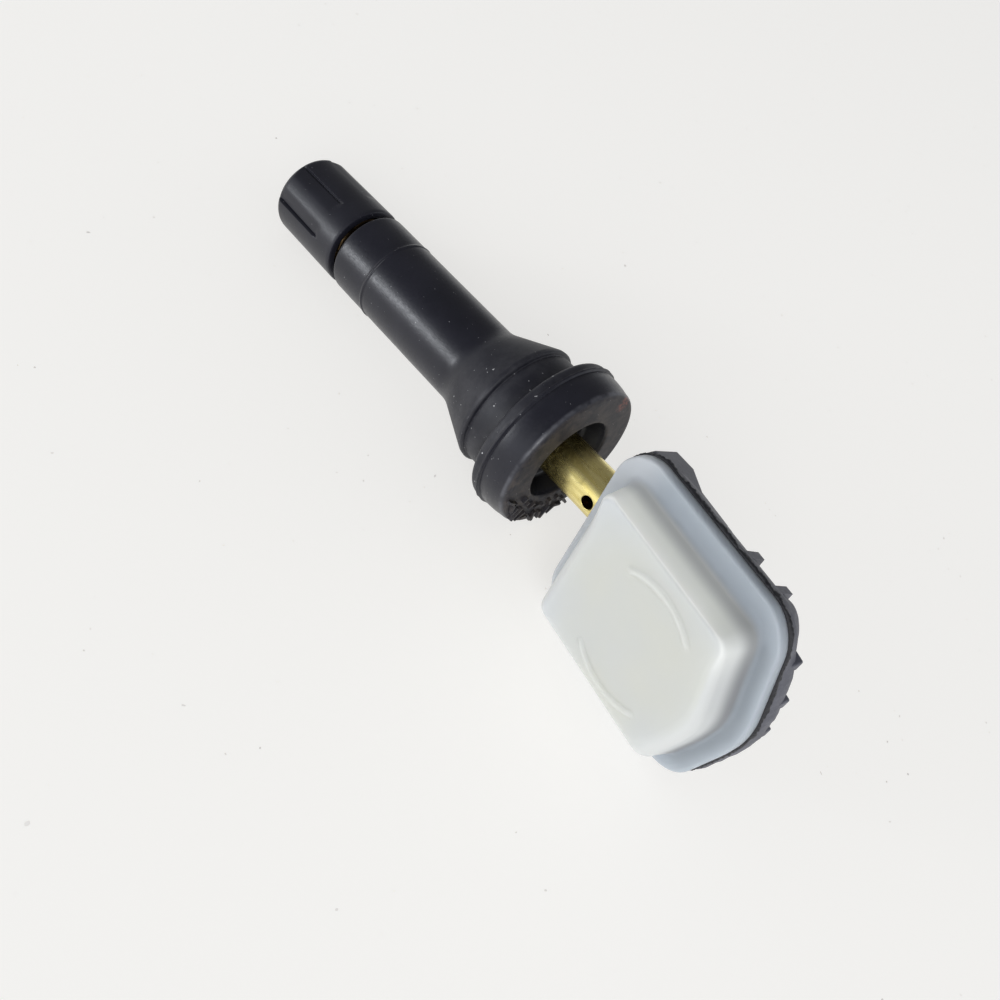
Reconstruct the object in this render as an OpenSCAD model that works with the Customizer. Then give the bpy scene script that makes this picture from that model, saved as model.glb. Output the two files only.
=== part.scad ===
// Snap-in tyre pressure sensor: rubber valve, brass stem, screw cap and clamped-on sensor body.
// +X runs along the valve from the cap to the inside of the wheel.
// The origin is the middle of the shoulder that seats against the wheel rim.

/* [Rubber valve] */
// Radius of the rubber neck
neck_r = 5.18; // [5.1:0.01:5.6]
// Distance from the rim shoulder to the outer end of the neck
neck_len = 31.5; // [30:0.1:34]
// Distance from the outer end of the neck to its parting bead
parting_from_end = 5.65; // [3:0.05:8]
// Radius of the snap lip that passes through the rim hole
lip_r = 7.9; // [7.7:0.05:8.2]
// Length of the flared cone behind the snap lip
flare_len = 7.2; // [6:0.1:8]
// Radius of the groove that the rim sits in
groove_r = 7.45; // [7:0.05:7.6]
// Width of the groove that the rim sits in
groove_w = 3.65; // [3:0.05:4.5]
// Radius of the sealing flange
flange_r = 9.5; // [9:0.05:10]
// Thickness of the sealing flange
flange_t = 5.0; // [4.5:0.1:6]
// Height of the moulding flash around the flange
flash_h = 0.25; // [0.1:0.05:0.4]
// Radius of the recess in the flange face
recess_r = 5.3; // [4.6:0.05:5.8]
// Depth of the recess in the flange face
recess_depth = 2.6; // [1.5:0.1:3.5]

/* [Brass stem] */
// Radius over the charging thread
thread_r = 3.85; // [3.6:0.01:4]
// Length of stem that stands out of the rubber
thread_len = 10.0; // [9:0.1:11]
// Radius of the stem inside the rubber neck
shank_r = 3.6; // [3.3:0.05:3.7]
// Radius of the tube that carries the sensor body
tube_r = 2.72; // [2.5:0.01:3]
// Distance from the rim shoulder to the inner end of the tube
tube_end = 18.0; // [17:0.1:19]
// Distance from the rim shoulder to the air hole
air_hole_x = 10.3; // [9:0.1:10.6]
// Radius of the air hole
air_hole_r = 0.75; // [0.5:0.05:1]
// Angle of the air hole around the tube, measured from the cover side
air_hole_angle = -3; // [-60:1:60]
// Radius of the air passage
passage_r = 1.2; // [0.9:0.05:1.4]

/* [Valve core] */
// Radius of the core's thread
core_r = 2.55; // [2.4:0.01:2.6]
// Length of the core's threaded head
core_head_len = 4.5; // [3.5:0.1:5]
// Radius of the core's barrel
barrel_r = 1.75; // [1.6:0.01:1.9]
// Length of the core's barrel
barrel_len = 9.0; // [8:0.1:10]
// Radius of the core's pin
pin_r = 0.45; // [0.35:0.01:0.5]
// Travel of the core's pin
pin_travel = 1.2; // [0.8:0.1:1.5]

/* [Valve cap] */
// Length of the cap
cap_len = 11.4; // [10.8:0.1:12]
// Radius of the cap at its open rim
cap_r = 5.15; // [4.9:0.01:5.4]
// Gap between the cap's open rim and the rubber
cap_gap = 1.0; // [0.6:0.1:1.2]
// Number of grip steps around the cap
grip_count = 6; // [4:1:10]
// Height of one grip step
grip_h = 0.32; // [0.15:0.01:0.4]
// Length of the grip steps
grip_len = 7.0; // [4:0.1:8]
// Thickness of the cap's sealing ring
seal_t = 0.8; // [0.5:0.05:1]

/* [Sensor body] */
// Distance from the rim shoulder to the front of the sensor body
body_x = 11.9; // [11.5:0.05:12.6]
// Height of the cover's flange above the valve axis, at the front
body_z = 4.7; // [4.6:0.05:5.2]
// Upward slope of the sensor body
body_tilt = 10; // [8:0.5:12]
// Width of the sensor body
body_w = 24.0; // [23.6:0.1:25.4]
// Length of the body's straight sides
side_len = 23.1; // [22.8:0.1:24.6]
// Length of the blunt nose at the far end
nose_len = 2.8; // [2.4:0.1:4.4]
// Radius of the body's corners in plan
corner_r = 4.4; // [3.8:0.1:4.8]
// Radius of the nose's tip in plan
nose_r = 10.4; // [9:0.2:12]

/* [Cover] */
// Thickness of the cover's flange
cover_flange_t = 1.2; // [0.8:0.05:1.5]
// Width of the cover's flange around the raised part
cover_flange_w = 2.45; // [2.2:0.05:2.6]
// Height of the cover's raised part
cover_h = 4.4; // [4.2:0.05:5]
// Draft of the raised part's wall
cover_draft = 0.4; // [0.3:0.05:0.7]
// Wall thickness of the cover
cover_wall = 1.0; // [0.8:0.05:1.1]
// Radius of the two arc ribs on the cover
arc_rib_r = 7.05; // [6.2:0.05:7.3]
// Distance from the body's front to the middle of the arc ribs
arc_rib_x = 14.0; // [13.4:0.1:14.6]
// Angle that each arc rib spans
arc_rib_span = 84; // [60:1:100]
// Height of the arc ribs
arc_rib_h = 0.2; // [0.1:0.05:0.3]

/* [Housing] */
// Depth of the housing's upright side wall
side_depth = 1.3; // [1:0.05:1.6]
// Depth of the housing below the joint
tray_depth = 3.4; // [3.2:0.05:3.7]
// Width of the sloping band around the housing's back
bevel_w = 2.2; // [1.8:0.05:2.4]
// Wall thickness of the housing
housing_wall = 1.1; // [0.9:0.05:1.2]
// Thickness of the adhesive joint
joint_t = 0.3; // [0.2:0.05:0.4]
// Width of the clamping block across the valve axis
block_w = 16.2; // [14.6:0.1:17]
// Length of the clamping block along the valve axis
block_len = 9.6; // [9:0.1:11]
// Distance from the valve axis to the bottom of the clamping block
block_drop = 4.4; // [4.2:0.05:5]
// Distance from the front of the sensor body to the first rib across its back
rib_x = 14.3; // [13.6:0.1:15]
// Spacing of the crossing ribs on the back
rib_pitch = 4.0; // [3.7:0.05:4.3]
// Thickness of the ribs on the back
rib_t = 0.9; // [0.6:0.05:1.1]
// Height of the ribs on the back
rib_h = 1.1; // [0.8:0.05:1.3]

/* [Fixing screw] */
// Radius of the screw's shank
screw_r = 1.5; // [1.3:0.05:1.6]
// Radius of the screw's head
screw_head_r = 2.6; // [2.4:0.05:2.8]
// Length of the screw's head
screw_head_len = 2.0; // [1.6:0.1:2.2]

/* [Electronics] */
// Thickness of the circuit board
board_t = 0.8; // [0.6:0.1:1]
// Radius of the coin cell
cell_r = 8.0; // [7.9:0.05:8.05]
// Thickness of the coin cell
cell_t = 3.2; // [3:0.05:3.3]

/* [Lying position] */
// Turn of the sensor body about the valve axis when the sensor lies down
lie_angle = 88; // [80:1:95]

/* [Hidden] */
$fn = 96;
hull_fn = 32;
slice_t = 0.01;
big = 100;
running_gap = 0.05;
seat_gap = 0.05;

// Places along the valve axis, worked out from the rim shoulder
lip_x = -groove_w;
rubber_end_x = -neck_len;
flare_start_x = lip_x - flare_len;
parting_x = rubber_end_x + parting_from_end;
cap_rim_x = rubber_end_x - cap_gap;
cap_top_x = cap_rim_x - cap_len;
stem_tip_x = rubber_end_x - thread_len;
cap_floor_x = stem_tip_x - seat_gap - seal_t;
recess_x = flange_t - recess_depth;

// A circular arc as a list of points, from angle a0 to angle a1
function arc(cx, cy, r, a0, a1, n = 8) =
    [for (i = [0:n]) [cx + r * cos(a0 + (a1 - a0) * i / n), cy + r * sin(a0 + (a1 - a0) * i / n)]];

// Turns a profile of [radius, place along the valve] into a solid of revolution
module turned(points) {
    rotate([0, 90, 0]) rotate_extrude() polygon(points);
}

// A cylinder on the valve axis, from x0 to x1
module rod(r, x0, x1) {
    translate([x0, 0, 0]) rotate([0, 90, 0]) cylinder(r = r, h = x1 - x0);
}

// Turns every piece of the sensor into the position in which it lies
module lying() {
    rotate([lie_angle, 0, 0]) children();
}

// Valve rubber
flash_x = 1.3;
flash_w = 0.3;
flange_edge_r = 1.4;
shoulder_r = 0.6;
lip_edge_r = 0.5;
lip_undercut = 0.35;
parting_h = 0.1;
parting_w = 0.3;
end_edge_r = 0.4;
recess_floor_r = 4.4;
flare_blend = 0.25;
shank_end_x = -13;
tube_start_x = -9.5;

// One point of the flare's outline: a cone with a short curve where it leaves the neck
function flare_point(t, rise) = [
    neck_r + 0.02 + (lip_r - neck_r - 0.14) * rise / (1 - flare_blend / 2),
    flare_start_x + (flare_len - lip_edge_r) * t
];

module valve_rubber() {
    color([0.13, 0.13, 0.14]) lying() difference() {
        turned(concat(
            [[0.5, recess_x], [0.5, rubber_end_x]],
            arc(neck_r - end_edge_r, rubber_end_x + end_edge_r, end_edge_r, -90, 0),
            [
                [neck_r, parting_x - parting_w / 2],
                [neck_r + parting_h, parting_x],
                [neck_r + parting_h, parting_x + parting_w / 2],
                [neck_r + 0.02, parting_x + parting_w]
            ],
            [for (t = [0:0.05:flare_blend]) flare_point(t, t * t / (2 * flare_blend))],
            [flare_point(1, 1 - flare_blend / 2)],
            arc(lip_r - lip_edge_r, lip_x - lip_edge_r + 0.15, lip_edge_r, 30, 80, 4),
            [
                [lip_r - lip_undercut, lip_x + 0.1],
                [groove_r, lip_x + 0.45],
                [groove_r, -0.001],
                [groove_r, 0]
            ],
            arc(flange_r - shoulder_r, shoulder_r, shoulder_r, -90, 0),
            [
                [flange_r, flash_x - flash_w],
                [flange_r + flash_h, flash_x - flash_w / 2],
                [flange_r + flash_h, flash_x + flash_w / 2],
                [flange_r - 0.05, flash_x + flash_w / 2 + 0.02]
            ],
            arc(flange_r - 0.1 - flange_edge_r, flange_t - flange_edge_r, flange_edge_r, 0, 90),
            [[recess_r, flange_t], [recess_r - 0.15, flange_t - 0.3], [recess_floor_r, recess_x]]
        ));
        rod(thread_r, rubber_end_x - 1, rubber_end_x + thread_hold);
        rod(shank_r, rubber_end_x, shank_end_x);
        turned([[0, shank_end_x - 0.01], [shank_r, shank_end_x - 0.01], [shank_r, shank_end_x],
            [tube_r, tube_start_x], [0, tube_start_x]]);
        rod(tube_r, tube_start_x - 0.01, flange_t);
    }
}

// Valve core: threaded head, tapered gasket, barrel, pin with its cup, and the return spring
core_tip_x = stem_tip_x + 1.0;
core_head_end_x = core_tip_x + core_head_len;
core_tongue_r = core_r - 0.25;
core_tongue_w = 2.7;
core_tongue_len = 2.0;
core_head_bore_r = pin_r + 0.5;
seat_r = barrel_r + 0.2;
gasket_x = core_head_end_x + 0.25;
gasket_len = 1.4;
barrel_end_x = core_head_end_x + barrel_len;
barrel_bore_r = barrel_r - 0.6;
barrel_ledge = 0.8;
barrel_ledge_bore_r = pin_r + 0.15;
spring_out_r = barrel_bore_r - 0.15;
spring_in_r = pin_r + 0.15;
collar_x = core_head_end_x + 0.6;
collar_t = 0.5;
collar_r = spring_out_r + 0.05;
pin_tip_x = stem_tip_x + 0.2;
cup_x = barrel_end_x + 0.3;
cup_t = 1.3;
cup_r = barrel_r - 0.15;
cup_lip = 0.15;
cup_seal_r = cup_r - cup_lip;
cup_seal_t = 0.5;
cup_seal_proud = 0.25;
pin_end_x = cup_x + cup_t + 0.3;

// Brass stem with its charging thread, core seat, air passage and screw hole
core_bore_r = core_r + running_gap;
core_bore_end_x = core_head_end_x + 0.8;
seat_end_x = core_bore_end_x + 0.8;
chamber_end_x = pin_end_x + pin_travel + 0.6;
thread_edge = 0.6;
thread_hold = 1.5;
tip_edge = 0.3;
passage_end_x = air_hole_x + air_hole_r + 0.5;
screw_hole_r = screw_r + running_gap;
screw_hole_depth = 5.2;
tube_edge = 0.3;

module valve_stem() {
    color([0.72, 0.55, 0.2]) lying() difference() {
        turned([
            [0, stem_tip_x], [thread_r - thread_edge, stem_tip_x], [thread_r, stem_tip_x + thread_edge],
            [thread_r, rubber_end_x + thread_hold], [shank_r, rubber_end_x + thread_hold],
            [shank_r, shank_end_x],
            [tube_r, tube_start_x], [tube_r, tube_end - tube_edge], [tube_r - tube_edge, tube_end],
            [0, tube_end]
        ]);
        turned([[0, stem_tip_x - 1], [core_bore_r + tip_edge, stem_tip_x - 1],
            [core_bore_r + tip_edge, stem_tip_x], [core_bore_r, stem_tip_x + tip_edge],
            [core_bore_r, core_bore_end_x], [seat_r, seat_end_x], [0, seat_end_x]]);
        rod(seat_r, seat_end_x - 0.01, chamber_end_x);
        rod(passage_r, chamber_end_x - 0.01, passage_end_x);
        rotate([air_hole_angle, 0, 0]) translate([air_hole_x, 0, 0]) cylinder(r = air_hole_r, h = tube_r + 1);
        rod(screw_hole_r, tube_end - screw_hole_depth, tube_end + 1);
    }
}

module core_head() {
    color([0.78, 0.62, 0.28]) lying() difference() {
        union() {
            rod(core_r, core_tip_x + core_tongue_len, core_head_end_x);
            intersection() {
                rod(core_tongue_r, core_tip_x, core_tip_x + core_tongue_len);
                translate([core_tip_x, -core_tongue_w / 2, -core_r])
                    cube([core_tongue_len, core_tongue_w, 2 * core_r]);
            }
        }
        rod(core_head_bore_r, core_tip_x - 1, core_head_end_x + 1);
    }
}

module core_gasket() {
    color([0.75, 0.2, 0.15]) lying() turned([
        [barrel_r, gasket_x], [core_r - 0.2, gasket_x],
        [seat_r - 0.02, gasket_x + gasket_len], [barrel_r, gasket_x + gasket_len]
    ]);
}

module core_barrel() {
    color([0.78, 0.62, 0.28]) lying() difference() {
        rod(barrel_r, core_head_end_x, barrel_end_x);
        rod(barrel_bore_r, core_head_end_x - 1, barrel_end_x - barrel_ledge);
        rod(barrel_ledge_bore_r, core_head_end_x, barrel_end_x + 1);
    }
}

module core_spring() {
    color([0.7, 0.7, 0.72]) lying() difference() {
        rod(spring_out_r, collar_x + collar_t, barrel_end_x - barrel_ledge);
        rod(spring_in_r, collar_x, barrel_end_x);
    }
}

module core_pin() {
    color([0.8, 0.65, 0.3]) lying() {
        rod(pin_r, pin_tip_x, pin_end_x);
        rod(collar_r, collar_x, collar_x + collar_t);
    }
}

module core_cup() {
    color([0.78, 0.62, 0.28]) lying() difference() {
        rod(cup_r, cup_x, cup_x + cup_t);
        rod(cup_seal_r, cup_x - 1, cup_x + cup_seal_t);
        rod(pin_r, cup_x - 1, cup_x + cup_t + 1);
    }
}

module core_cup_seal() {
    color([0.15, 0.15, 0.15]) lying() difference() {
        rod(cup_seal_r, cup_x - cup_seal_proud, cup_x + cup_seal_t);
        rod(pin_r, cup_x - 1, cup_x + cup_seal_t + 1);
    }
}

// Valve cap with stepped grip faces
cap_running_gap = 0.08;
cap_edge_r = 1.1;
cap_top_r = cap_r - 0.1;
cap_rim_edge = 0.25;
grip_x = cap_top_x + 0.9;
cap_bore_r = thread_r + cap_running_gap;
cap_mouth_r = cap_bore_r + 0.35;
cap_mouth_len = 0.6;
seal_hole_r = core_r - 0.35;

// The wedge that one grip step leaves out: it deepens around the cap and ends in the step
module grip_cut() {
    step_angle = 360 / grip_count;
    eccentric = grip_h / (2 * sin(step_angle / 2));
    base_r = cap_r - grip_h / 2 + 0.01;
    mid = step_angle / 2 + 90;
    linear_extrude(grip_len) difference() {
        intersection() {
            circle(r = cap_r + 1);
            polygon([[0, 0], [2 * cap_r, 0], [2 * cap_r * cos(step_angle), 2 * cap_r * sin(step_angle)]]);
        }
        translate([eccentric * cos(mid), eccentric * sin(mid)]) circle(r = base_r);
    }
}

module valve_cap() {
    color([0.14, 0.14, 0.15]) lying() difference() {
        turned(concat(
            [[0, cap_top_x]],
            arc(cap_top_r - cap_edge_r, cap_top_x + cap_edge_r, cap_edge_r, -90, 0),
            [[cap_r, cap_rim_x - cap_rim_edge], [cap_r - cap_rim_edge, cap_rim_x], [0, cap_rim_x]]
        ));
        rod(cap_bore_r, cap_floor_x, cap_rim_x + 1);
        turned([[0, cap_rim_x - cap_mouth_len], [cap_bore_r, cap_rim_x - cap_mouth_len],
            [cap_mouth_r, cap_rim_x], [cap_mouth_r, cap_rim_x + 1], [0, cap_rim_x + 1]]);
        for (i = [0:grip_count - 1])
            translate([grip_x, 0, 0]) rotate([0, 90, 0]) rotate([0, 0, i * 360 / grip_count]) grip_cut();
    }
}

module cap_seal() {
    color([0.2, 0.2, 0.2]) lying() difference() {
        rod(thread_r, cap_floor_x, cap_floor_x + seal_t);
        rod(seal_hole_r, cap_floor_x - 1, cap_floor_x + seal_t + 1);
    }
}

// Moves a piece from the body's own frame, where Z is square to the cover, to the valve's
module body_frame() {
    translate([body_x, 0, body_z]) rotate([0, -body_tilt, 0]) children();
}

module on_body() {
    lying() body_frame() children();
}

// Plan of the sensor body, drawn in by an inset: four corners and a blunt nose
body_half = body_w / 2;
slant = sqrt(body_half * body_half + nose_len * nose_len);

function home_centres(inset, r, tip_r) = let (
        half = body_half - inset,
        side_end = side_len - inset * (slant - nose_len) / body_half,
        nose = nose_len * half / body_half,
        far_x = side_end - r * (slant - nose_len) / body_half,
        tip_x = side_end + nose - tip_r * slant / body_half
    ) [
        [inset + r, r - half], [inset + r, half - r], [far_x, half - r], [tip_x, 0], [far_x, r - half]
    ];

module home(inset = 0, r = corner_r, tip_r = nose_r, steps = 12) {
    c = home_centres(inset, r, tip_r);
    nose_angle = atan(nose_len / body_half);
    polygon(concat(
        arc(c[0][0], c[0][1], r, 180, 270, steps),
        arc(c[4][0], c[4][1], r, 270, 360 - nose_angle, steps),
        arc(c[3][0], c[3][1], tip_r, -nose_angle, nose_angle, steps / 2),
        arc(c[2][0], c[2][1], r, nose_angle, 90, steps),
        arc(c[1][0], c[1][1], r, 90, 180, steps)
    ));
}

// One thin slice of the plan at a height, for the drafted walls
module slice(z, inset, r, tip_r) {
    translate([0, 0, z]) linear_extrude(slice_t) home(inset, r, tip_r, hull_fn / 4);
}

cover_body_r = 2.0;
cover_tip_r = 8.0;
cover_edge = 0.5;
cover_wall_x = cover_flange_w + cover_draft;
cover_in_r = 1.5;
cover_in_tip_r = 5.0;
cover_in_foot = cover_flange_w + cover_wall - 0.1;
cover_in_top = cover_wall_x + cover_wall - 0.1;
arc_rib_foot_w = 0.7;
arc_rib_top_w = 0.4;
arc_rib_sunk = 0.1;

// One arc rib, centred on +X, standing on the raised part
module arc_rib() {
    rotate([0, 0, -arc_rib_span / 2]) rotate_extrude(angle = arc_rib_span)
        translate([arc_rib_r, 0]) polygon([
            [-arc_rib_foot_w / 2, -arc_rib_sunk], [arc_rib_foot_w / 2, -arc_rib_sunk],
            [arc_rib_top_w / 2, arc_rib_h], [-arc_rib_top_w / 2, arc_rib_h]
        ]);
}

module cover() {
    color([0.84, 0.86, 0.86]) on_body() difference() {
        union() {
            translate([0, 0, -cover_flange_t]) linear_extrude(cover_flange_t) home();
            hull() {
                slice(-0.2, cover_flange_w, cover_body_r, cover_tip_r);
                slice(cover_h - cover_edge, cover_wall_x, cover_body_r, cover_tip_r);
                slice(cover_h - 0.3 * cover_edge - slice_t, cover_wall_x + 0.3 * cover_edge,
                    cover_body_r, cover_tip_r);
                slice(cover_h - slice_t, cover_wall_x + 0.9 * cover_edge, cover_body_r, cover_tip_r);
            }
            for (side = [90, -90])
                translate([arc_rib_x, 0, cover_h]) rotate([0, 0, side]) arc_rib();
        }
        hull() {
            slice(-cover_flange_t - 0.1, cover_in_foot, cover_in_r, cover_in_tip_r);
            slice(cover_h - cover_wall, cover_in_top, cover_in_r, cover_in_tip_r);
        }
    }
}

// Housing: a shallow tray with a bevelled back, crossing ribs, and the block that clamps on the stem
joint_top = -cover_flange_t;
housing_top = joint_top - joint_t;
housing_inset = 0.35;
side_inset = housing_inset + 0.35;
rib_start = 0.12;
tray_floor = housing_top - tray_depth;
housing_in_r = 1.8;
housing_in_tip_r = 6.0;
block_front_x = body_x + 0.3;
block_end_x = block_front_x + block_len;
block_edge = 1.0;
block_narrowing = 1.5;
collar_len = 3.4;
collar_step = 0.6;
collar_narrowing = 0.1;
head_wall = 1.6;
head_seat_x = tube_end + head_wall;
screw_clearance = 0.2;
pocket_r = screw_head_r + 0.4;
port_x = rib_x + rib_pitch / 2;
port_y = rib_pitch;
port_r = 0.6;
ribs_across = 2;
ribs_along = 4;

module tray_outer() {
    hull() {
        slice(housing_top - slice_t, housing_inset, corner_r, nose_r);
        slice(housing_top - side_depth, side_inset, corner_r - 0.3, nose_r);
        slice(tray_floor, bevel_w, corner_r - 1.2, nose_r - 2);
    }
}

// The room that the ribs' ends fill: it stands out of the bevel and of the back
module rib_room() {
    hull() {
        slice(housing_top - side_depth, side_inset + rib_start, corner_r - 0.4, nose_r - 0.2);
        slice(tray_floor - rib_h, bevel_w, corner_r - 1.2, nose_r - 2);
    }
}

// One layer of the block, chamfered at its front corners and narrower at its inner end
module block_layer(z, length, half, narrowing) {
    translate([block_front_x, 0, z]) linear_extrude(1) polygon([
        [0, block_edge - half], [block_edge, -half], [length, narrowing - half],
        [length, half - narrowing], [block_edge, half], [0, half - block_edge]
    ]);
}

// The block, with the wider collar around its front
module clamp_block() {
    half = block_w / 2;
    hull() {
        body_frame() block_root();
        block_layer(-block_drop, block_len, half - collar_step - block_edge, block_narrowing);
        block_layer(block_edge - block_drop, block_len, half - collar_step, block_narrowing);
    }
    hull() {
        body_frame() block_root();
        block_layer(-block_drop, collar_len, half - block_edge, collar_narrowing);
        block_layer(block_edge - block_drop, collar_len, half, collar_narrowing);
    }
}

// The block's root, just under the joint
module block_root() {
    inset = housing_inset + 1.05;
    translate([1.0, inset - body_half, housing_top - 1.2]) cube([block_len - 0.4, body_w - 2 * inset, 0.8]);
}

module housing() {
    color([0.2, 0.2, 0.22]) lying() difference() {
        union() {
            body_frame() {
                tray_outer();
                intersection() {
                    rib_room();
                    back_ribs();
                }
            }
            clamp_block();
        }
        body_frame() {
            cavity();
            translate([port_x, port_y, tray_floor - rib_h - 1])
                cylinder(r = port_r, h = rib_h + housing_wall + 2);
        }
        rod(tube_r + running_gap, block_front_x - 2, tube_end);
        rod(screw_r + screw_clearance, tube_end - 0.1, head_seat_x + 0.1);
        rod(pocket_r, head_seat_x, block_end_x + screw_clearance);
    }
}

// Crossing ribs on the back of the tray, behind the clamping block
module back_ribs() {
    rib_bottom = tray_floor - rib_h - 1;
    rib_height = housing_top - 0.4 - rib_bottom;
    for (i = [0:ribs_across - 1])
        translate([rib_x + i * rib_pitch - rib_t / 2, -body_half, rib_bottom])
            cube([rib_t, body_w, rib_height]);
    for (i = [0:ribs_along - 1])
        translate([block_len, (i - (ribs_along - 1) / 2) * rib_pitch - rib_t / 2, rib_bottom])
            cube([side_len, rib_t, rib_height]);
}

// Space for the electronics: over the block it is shallow, behind the block it is deep
module cavity() {
    inset = housing_wall + housing_inset;
    shallow = housing_top - 0.3;
    deep_x = block_len + 0.6;
    hull() {
        slice(housing_top, inset, housing_in_r, housing_in_tip_r);
        slice(shallow, inset + 0.1, housing_in_r, housing_in_tip_r);
    }
    intersection() {
        hull() {
            slice(housing_top - 0.1, inset + 0.3, housing_in_r - 0.2, housing_in_tip_r);
            slice(housing_top - side_depth + 0.4, inset + 0.45, housing_in_r - 0.2, housing_in_tip_r);
            slice(tray_floor + housing_wall, bevel_w + 0.5, 1, 5);
        }
        translate([deep_x, -body_half, tray_floor]) cube([big, body_w, tray_depth + 1]);
    }
}

module joint_bead() {
    color([0.1, 0.1, 0.11]) on_body() translate([0, 0, housing_top]) difference() {
        linear_extrude(joint_t) home(housing_inset - 0.1);
        translate([0, 0, -1]) linear_extrude(joint_t + 2)
            home(housing_inset + housing_wall, housing_in_r, housing_in_tip_r);
    }
}

// Fixing screw, from behind the block into the end of the stem
screw_tip_x = tube_end - screw_hole_depth + 0.8;
drive_r = 1.0;
drive_depth = 1.2;
drive_lobes = 6;

module fixing_screw() {
    color([0.62, 0.62, 0.64]) lying() difference() {
        union() {
            rod(screw_r, screw_tip_x, head_seat_x + 0.1);
            turned([[0, head_seat_x], [screw_head_r, head_seat_x],
                [screw_head_r, head_seat_x + screw_head_len - 0.5],
                [screw_head_r - 0.5, head_seat_x + screw_head_len], [0, head_seat_x + screw_head_len]]);
        }
        rod(drive_r, head_seat_x + screw_head_len - drive_depth, head_seat_x + screw_head_len + 1);
        for (i = [0:drive_lobes - 1])
            rotate([i * 360 / drive_lobes, 0, 0])
                translate([head_seat_x + screw_head_len - drive_depth, 0, drive_r])
                    rotate([0, 90, 0]) cylinder(r = 0.3, h = drive_depth + 1);
    }
}

// Electronics, in the body's own frame
// The largest cell that the room inside the cover takes, across it, before it and behind it
cell_x = arc_rib_x - 0.8;
cell_gap = 0.05;
cell_room_across = body_half - cover_in_top;
cell_room_front = cell_x - cover_in_top;
cell_room_nose = ((side_len - cell_x) * body_half + nose_len * body_half) / slant - cover_in_top;
cell_fit_r = min(cell_r, min(cell_room_across, cell_room_front, cell_room_nose) - cell_gap);
cell_top = cover_h - cover_wall - 0.9;
cell_bottom = cell_top - cell_t;
cell_rim = 0.25;
tab_t = 0.15;
tab_w = 3.0;
board_top = cell_bottom - 0.9;
board_bottom = board_top - board_t;
board_front = block_len + 1.0;
board_inset = housing_wall + housing_inset + 0.9;
board_corner_r = 1.4;
board_tip_r = 5.0;
board_half = body_half - board_inset;
board_far = side_len - board_inset * (slant - nose_len) / body_half + nose_len * board_half / body_half
    - board_tip_r * (slant / body_half - 1);

module circuit_board() {
    color([0.08, 0.35, 0.2]) on_body() difference() {
        translate([0, 0, board_bottom]) linear_extrude(board_t) intersection() {
            home(board_inset, board_corner_r, board_tip_r);
            translate([board_front, -body_half]) square([big, body_w]);
        }
        translate([port_x, port_y, board_bottom - 1]) cylinder(r = port_r - 0.1, h = board_t + 2);
    }
}

module coin_cell() {
    color([0.78, 0.79, 0.8]) on_body() translate([cell_x, 0, cell_bottom]) {
        translate([0, 0, cell_rim]) cylinder(r = cell_fit_r, h = cell_t - cell_rim);
        cylinder(r = cell_fit_r - 1.2, h = cell_rim + 0.1);
    }
}

// A spot-welded tab on the cell, bent down to the board
module cell_tab(z, reach) {
    drop = z - board_top;
    on_body() {
        translate([cell_x - 1, -tab_w / 2, z]) cube([reach + 1, tab_w, tab_t]);
        translate([cell_x + reach - tab_t, -tab_w / 2, board_top]) cube([tab_t, tab_w, drop + tab_t]);
    }
}

module cell_tab_positive() {
    color([0.75, 0.75, 0.76]) cell_tab(cell_top, cell_fit_r + 0.3);
}

module cell_tab_negative() {
    color([0.75, 0.75, 0.76]) cell_tab(cell_bottom - tab_t, cell_fit_r - 3);
}

chip_h = 0.9;
chip_w = 4.6;
sensor_w = 3.2;
coil_len = 5.7;
coil_x = board_front + 0.6 + coil_len / 2;
coil_y = 2.6 - board_half;
coil_w = 0.9;
coil_h = 0.9;
coil_end_t = 0.7;
crystal_x = board_far - 2.4;

// A flat-bodied component standing on the underside of the board
module under_board(x, y, length, width, height) {
    translate([x - length / 2, y - width / 2, board_bottom - height]) cube([length, width, height]);
}

module pressure_sensor() {
    color([0.7, 0.7, 0.68]) on_body() difference() {
        under_board(port_x, port_y, sensor_w, sensor_w, chip_h);
        translate([port_x, port_y, board_bottom - chip_h - 0.1]) cylinder(r = port_r - 0.15, h = 0.6);
    }
}

module port_gasket() {
    gasket_h = board_bottom - chip_h - tray_floor - housing_wall;
    color([0.85, 0.85, 0.8]) on_body()
        translate([port_x, port_y, tray_floor + housing_wall]) difference() {
            cylinder(r = port_r + 0.7, h = gasket_h);
            translate([0, 0, -1]) cylinder(r = port_r, h = gasket_h + 2);
        }
}

module controller_chip() {
    color([0.12, 0.12, 0.12]) on_body()
        under_board(board_front + 0.5 + chip_w / 2, -1.2, chip_w, chip_w, chip_h);
}

module coil_core() {
    color([0.25, 0.24, 0.24]) on_body() {
        under_board(coil_x, coil_y, coil_len - coil_end_t, coil_w, coil_h);
        for (end = [-1, 1])
            under_board(coil_x + end * (coil_len - coil_end_t) / 2, coil_y,
                coil_end_t, coil_w + 0.7, coil_h + 0.2);
    }
}

module coil_winding() {
    winding_len = coil_len - 2 * coil_end_t - 0.3;
    color([0.7, 0.4, 0.2]) on_body() difference() {
        under_board(coil_x, coil_y, winding_len, coil_w + 0.4, coil_h + 0.15);
        translate([coil_x - coil_len, coil_y - coil_w / 2, board_bottom - coil_h])
            cube([2 * coil_len, coil_w, coil_h + 0.1]);
    }
}

module crystal() {
    color([0.8, 0.8, 0.78]) on_body() under_board(crystal_x, -1.8, 2.0, 1.6, 0.7);
}

module capacitors() {
    color([0.72, 0.6, 0.42]) on_body() for (i = [0:2])
        under_board(crystal_x - 1.5, 1.4 + i * 0.9, 1.0, 0.5, 0.5);
}

module resistors() {
    color([0.15, 0.15, 0.15]) on_body() for (i = [0:2])
        under_board(crystal_x + 0.1, 1.4 + i * 0.9, 1.0, 0.5, 0.35);
}

loop_w = 0.6;

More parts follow.
